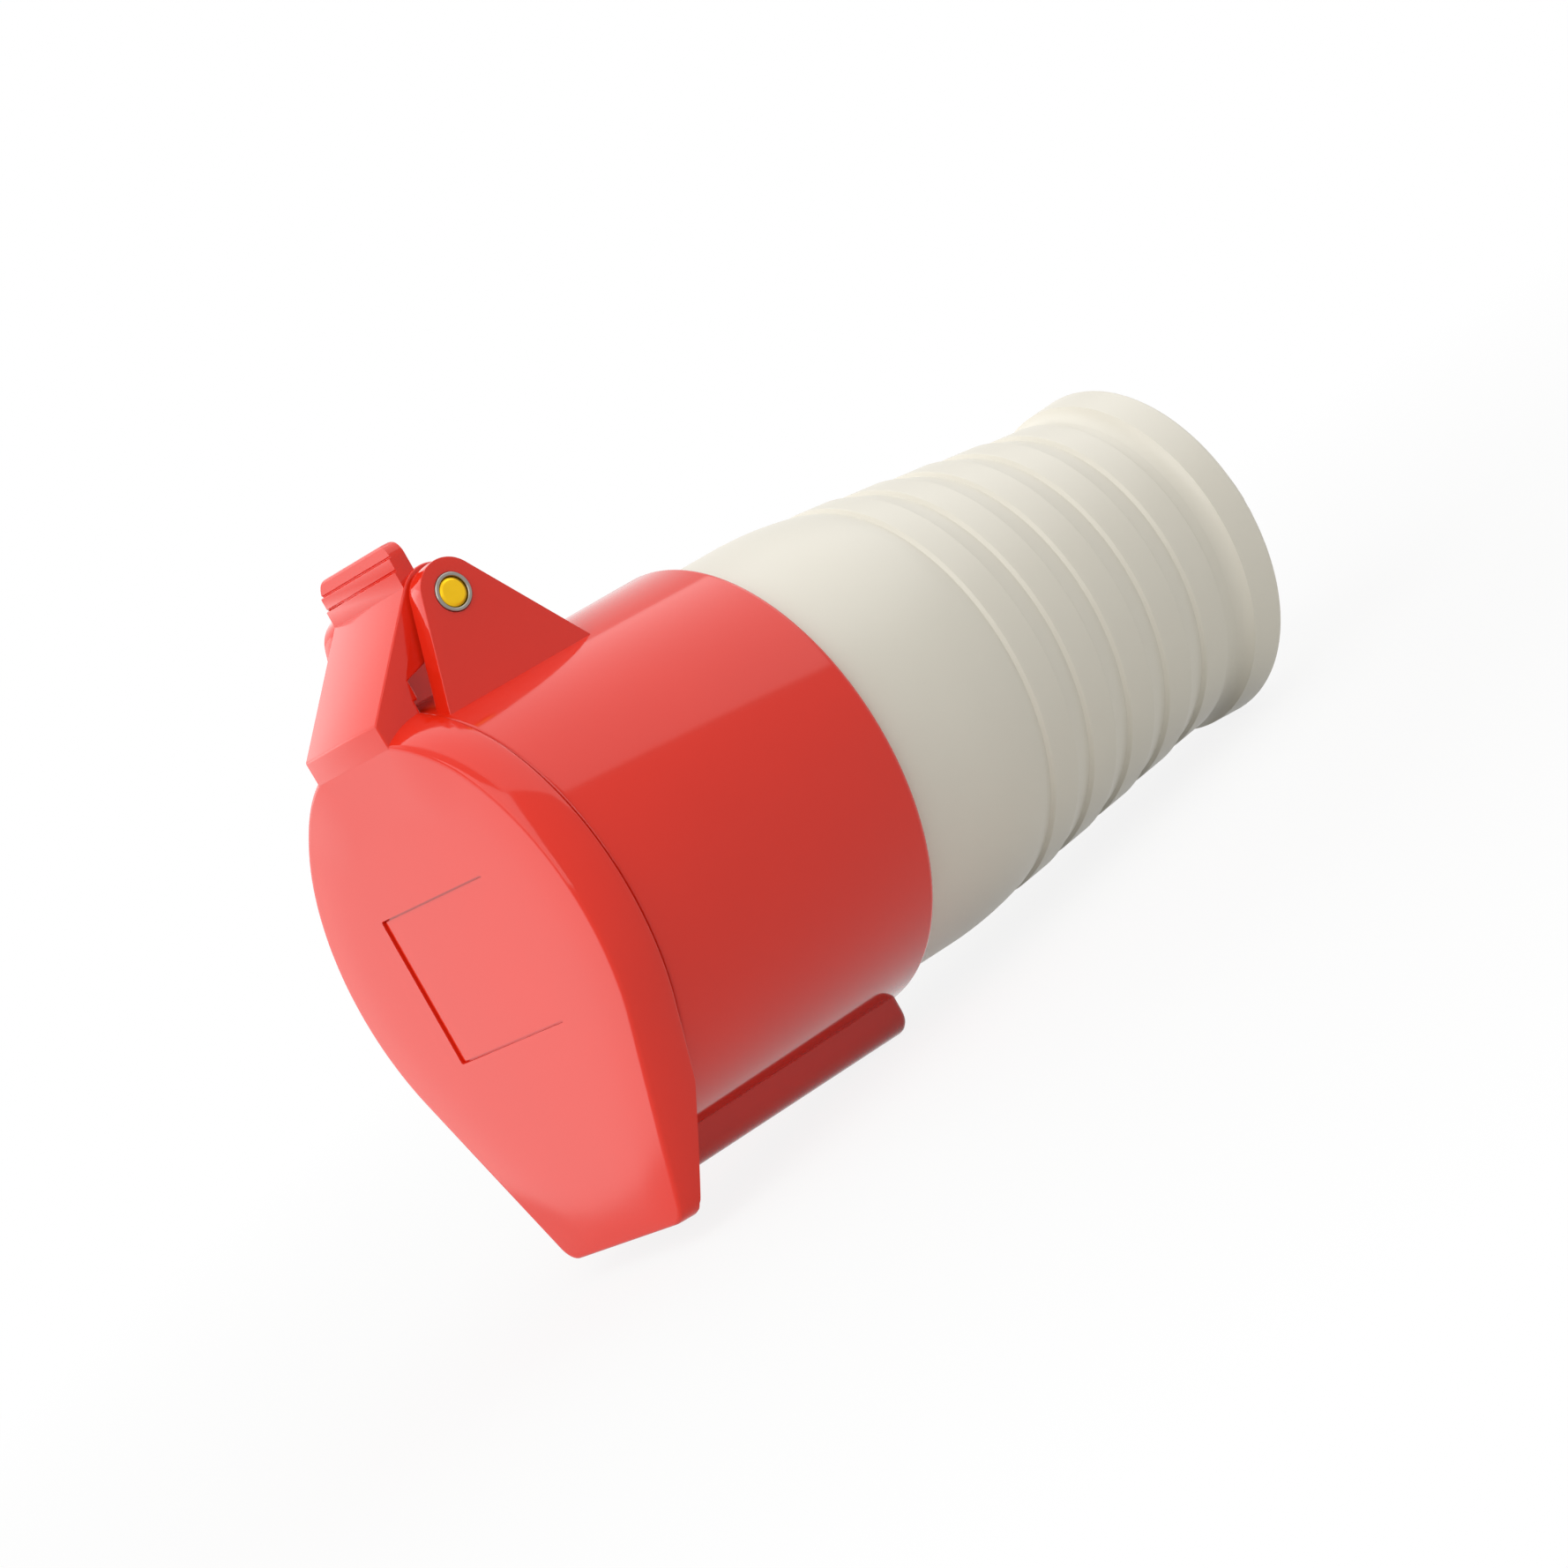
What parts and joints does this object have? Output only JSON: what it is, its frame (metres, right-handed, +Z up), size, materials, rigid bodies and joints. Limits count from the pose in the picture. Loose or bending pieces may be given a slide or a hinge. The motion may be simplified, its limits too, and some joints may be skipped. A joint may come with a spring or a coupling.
{
  "type": "industrial cable coupler",
  "caption": "Cable-end socket coupler: red round shroud with key channel, spring-shut hinged lid, slotted sleeve contacts, ringed grey grip and screwed cable gland.",
  "frame": {"origin": "centre of the overall box, on the floor that the coupler rests on", "axes": "+Y from the lid towards the cable end, +Z up, +X to the right seen from the lid; the coupler's own axis is raised at the lid end by 8.47 degrees"},
  "size_m": [0.0754, 0.1594, 0.1056],
  "materials": {
    "red_plastic": "glossy moulded polyamide",
    "grey_plastic": "semi-gloss moulded polyamide",
    "black_plastic": "matt moulded insulator",
    "black_rubber": "matt elastomer",
    "brass": "turned brass",
    "steel": "zinc-plated steel"
  },
  "bodies": {
    "coupler_body": {"front_collar": "red_plastic", "hinge_pin": "brass", "hinge_bush_left": "steel", "hinge_bush_right": "steel", "lid_spring": "steel", "contact_face": "black_plastic", "contact_chambers": "black_plastic", "contact_carrier": "black_plastic", "contact_retainer": "black_plastic", "retainer_screw": "steel", "contact_line_1": "brass", "contact_line_2": "brass", "contact_line_3": "brass", "contact_neutral": "brass", "contact_earth": "brass", "contact_spring_rings": "steel", "terminal_screws": "steel", "handle": "grey_plastic", "housing_seal": "black_rubber", "gland_seal": "black_rubber", "clamping_ring": "grey_plastic"},
    "lid": {"lid": "red_plastic", "lid_gasket": "black_rubber"},
    "washer": {"thrust_washer": "grey_plastic"},
    "nut": {"gland_nut": "grey_plastic"}
  },
  "joints": [
    {"name": "lid_hinge", "type": "hinge", "parent": "coupler_body", "child": "lid", "pos_m": [0, -0.0465, 0.09443], "axis": [-1, 0, 0], "range_deg": [0, 110], "stiffness_Nm_per_rad": 0.03, "springref_deg": -85.94},
    {"name": "gland_slide", "type": "slide", "parent": "coupler_body", "child": "washer", "axis": [0, 0.9891, -0.1472], "range_m": [0, 0.004]},
    {"name": "gland_turn", "type": "hinge", "parent": "washer", "child": "nut", "pos_m": [0, 0.06821, 0.02833], "axis": [0, 0.9891, -0.1472], "range_deg": [0, 720]}
  ],
  "couplings": [
    {"joint": "gland_slide", "follows": "gland_turn", "m_per_rad": 0.0003183}
  ]
}
